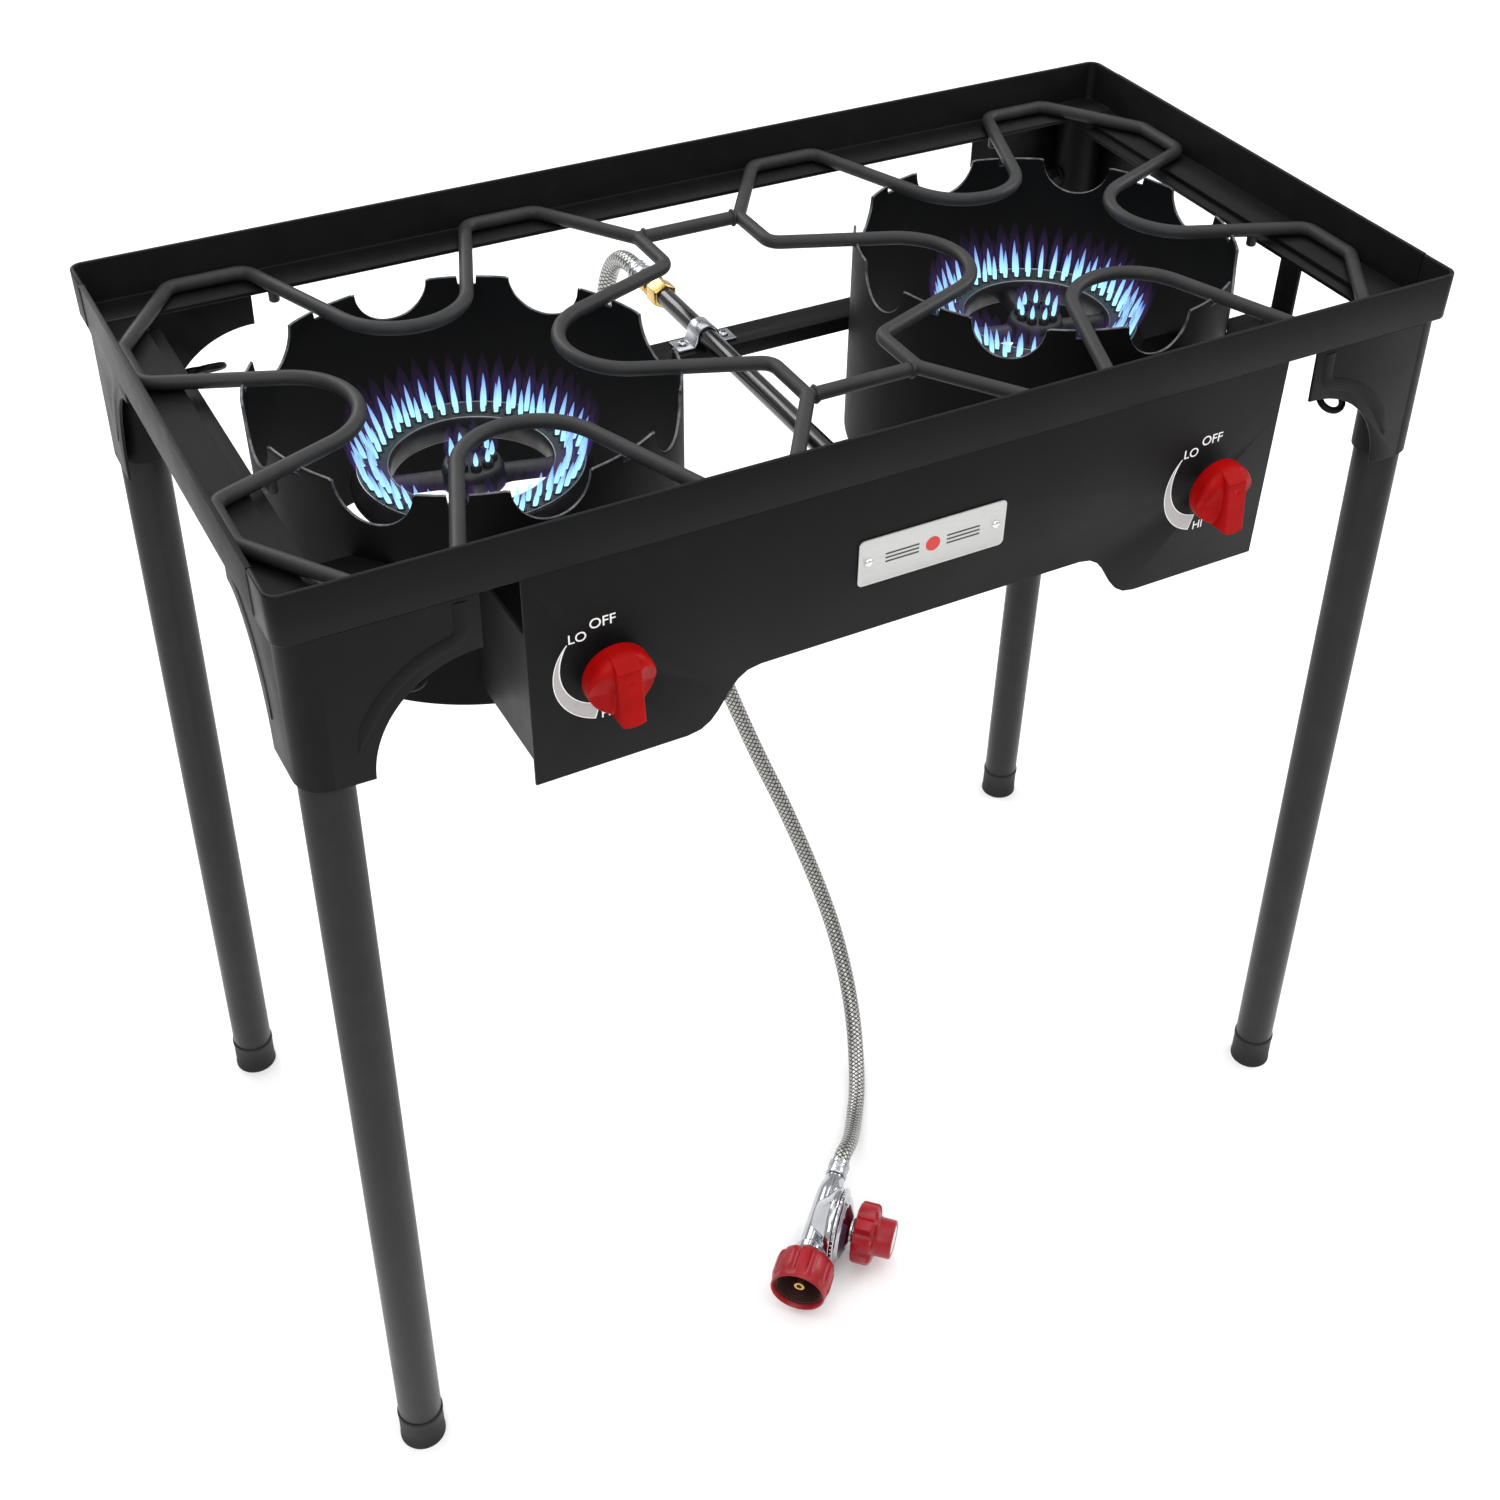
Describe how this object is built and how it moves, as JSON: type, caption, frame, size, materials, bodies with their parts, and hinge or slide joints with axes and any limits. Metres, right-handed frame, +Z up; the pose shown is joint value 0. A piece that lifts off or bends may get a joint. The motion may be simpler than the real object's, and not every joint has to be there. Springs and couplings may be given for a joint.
{
  "type": "propane burner stand",
  "caption": "Two-burner propane stand: angle-iron frame on splayed removable legs, bent-rod pot rack, sheet wind guards, knob panel, and a braided gas hose with its regulator.",
  "frame": {"origin": "on the ground, under the centre of the stand's own box, from the control knobs' faces to the rear feet, without the hose and regulator", "axes": "+X along the long side to the cook's right, -Y towards the cook and the control panel, +Z up"},
  "size_m": [0.836, 0.5431, 0.776],
  "materials": {
    "powder_coat": "satin black powder coat",
    "rack_rod": "rough black heat-proof coat",
    "burner_iron": "dark cast",
    "pipe_gloss": "gloss black",
    "brass": "machined",
    "zinc": "zinc plated",
    "badge": "brushed",
    "knob_red": "gloss red",
    "nut_red": "satin dark red",
    "braid": "woven stainless braid",
    "regulator_metal": "plated die casting",
    "foot_rubber": "matte black"
  },
  "bodies": {
    "stand": {"frame_rail_front": "powder_coat", "frame_rail_rear": "powder_coat", "frame_rail_left": "powder_coat", "frame_rail_right": "powder_coat", "side_strip_left": "powder_coat", "side_strip_right": "powder_coat", "leg_socket_fl": "powder_coat", "leg_socket_fr": "powder_coat", "leg_socket_bl": "powder_coat", "leg_socket_br": "powder_coat", "wind_guard_left": "powder_coat", "wind_guard_right": "powder_coat", "burner_left": "burner_iron", "burner_right": "burner_iron", "mixing_tube_left": "burner_iron", "mixing_tube_right": "burner_iron", "burner_seat_left": "powder_coat", "burner_seat_right": "powder_coat", "burner_bolt_left": "zinc", "burner_bolt_right": "zinc", "cross_bar": "powder_coat", "pipe_clamp": "zinc", "clamp_screw_left": "zinc", "clamp_screw_right": "zinc", "inlet_pipe": "pipe_gloss", "manifold_pipe": "pipe_gloss", "inlet_fitting": "brass", "valve_body_left": "brass", "valve_body_right": "brass", "jet_left": "brass", "jet_right": "brass", "control_panel": "powder_coat", "nameplate": "badge", "gas_hose": "braid", "hose_ferrule_inlet": "zinc", "hose_ferrule_regulator": "zinc", "regulator_body": "regulator_metal", "regulator_bonnet": "regulator_metal", "tank_nipple": "brass"},
    "rack": {"pot_rack": "rack_rod"},
    "front_left_leg": {"leg_fl": "powder_coat", "leg_foot_fl": "foot_rubber"},
    "front_right_leg": {"leg_fr": "powder_coat", "leg_foot_fr": "foot_rubber"},
    "back_left_leg": {"leg_bl": "powder_coat", "leg_foot_bl": "foot_rubber"},
    "back_right_leg": {"leg_br": "powder_coat", "leg_foot_br": "foot_rubber"},
    "front_left_eye": {"eye_screw_fl": "powder_coat"},
    "front_right_eye": {"eye_screw_fr": "powder_coat"},
    "back_left_eye": {"eye_screw_bl": "powder_coat"},
    "back_right_eye": {"eye_screw_br": "powder_coat"},
    "left_knob": {"control_knob_left": "knob_red", "valve_stem_left": "brass"},
    "right_knob": {"control_knob_right": "knob_red", "valve_stem_right": "brass"},
    "left_shutter": {"air_shutter_left": "zinc"},
    "right_shutter": {"air_shutter_right": "zinc"},
    "pressure_knob": {"regulator_knob": "nut_red"},
    "coupling": {"tank_nut": "nut_red"}
  },
  "joints": [
    {"name": "rack_lift", "type": "slide", "parent": "stand", "child": "rack", "axis": [0, 0, 1], "range_m": [0, 0.1]},
    {"name": "leg_fl_pull", "type": "slide", "parent": "stand", "child": "front_left_leg", "axis": [-0.0232, -0.0283, -0.9993], "range_m": [0, 0.08]},
    {"name": "leg_fr_pull", "type": "slide", "parent": "stand", "child": "front_right_leg", "axis": [0.0232, -0.0283, -0.9993], "range_m": [0, 0.08]},
    {"name": "leg_bl_pull", "type": "slide", "parent": "stand", "child": "back_left_leg", "axis": [-0.0232, 0.0283, -0.9993], "range_m": [0, 0.08]},
    {"name": "leg_br_pull", "type": "slide", "parent": "stand", "child": "back_right_leg", "axis": [0.0232, 0.0283, -0.9993], "range_m": [0, 0.08]},
    {"name": "eye_fl_turn", "type": "hinge", "parent": "stand", "child": "front_left_eye", "pos_m": [-0.38494, -0.18187, 0.69254], "axis": [0.9997, -0.0003, -0.0232], "continuous": true},
    {"name": "eye_fr_turn", "type": "hinge", "parent": "stand", "child": "front_right_eye", "pos_m": [0.38494, -0.18187, 0.69254], "axis": [0.9997, 0.0003, 0.0232], "continuous": true},
    {"name": "eye_bl_turn", "type": "hinge", "parent": "stand", "child": "back_left_eye", "pos_m": [-0.38494, 0.19487, 0.69254], "axis": [0.9997, 0.0003, -0.0232], "continuous": true},
    {"name": "eye_br_turn", "type": "hinge", "parent": "stand", "child": "back_right_eye", "pos_m": [0.38494, 0.19487, 0.69254], "axis": [0.9997, -0.0003, 0.0232], "continuous": true},
    {"name": "knob_left_turn", "type": "hinge", "parent": "stand", "child": "left_knob", "pos_m": [-0.2175, -0.2035, 0.667], "axis": [0, -1, 0], "range_deg": [0, 180]},
    {"name": "knob_right_turn", "type": "hinge", "parent": "stand", "child": "right_knob", "pos_m": [0.2175, -0.2035, 0.667], "axis": [0, -1, 0], "range_deg": [0, 180]},
    {"name": "shutter_left_turn", "type": "hinge", "parent": "stand", "child": "left_shutter", "pos_m": [-0.2175, -0.1423, 0.655], "axis": [0, -1, 0], "range_deg": [0, 90]},
    {"name": "shutter_right_turn", "type": "hinge", "parent": "stand", "child": "right_shutter", "pos_m": [0.2175, -0.1423, 0.655], "axis": [0, -1, 0], "range_deg": [0, 90]},
    {"name": "pressure_knob_turn", "type": "hinge", "parent": "stand", "child": "pressure_knob", "pos_m": [-0.045, -0.2055, 0.032], "axis": [0.7071, -0.7071, 0], "continuous": true},
    {"name": "coupling_turn", "type": "hinge", "parent": "stand", "child": "coupling", "pos_m": [-0.05207, -0.19843, 0.032], "axis": [-0.7071, -0.7071, 0], "continuous": true}
  ]
}
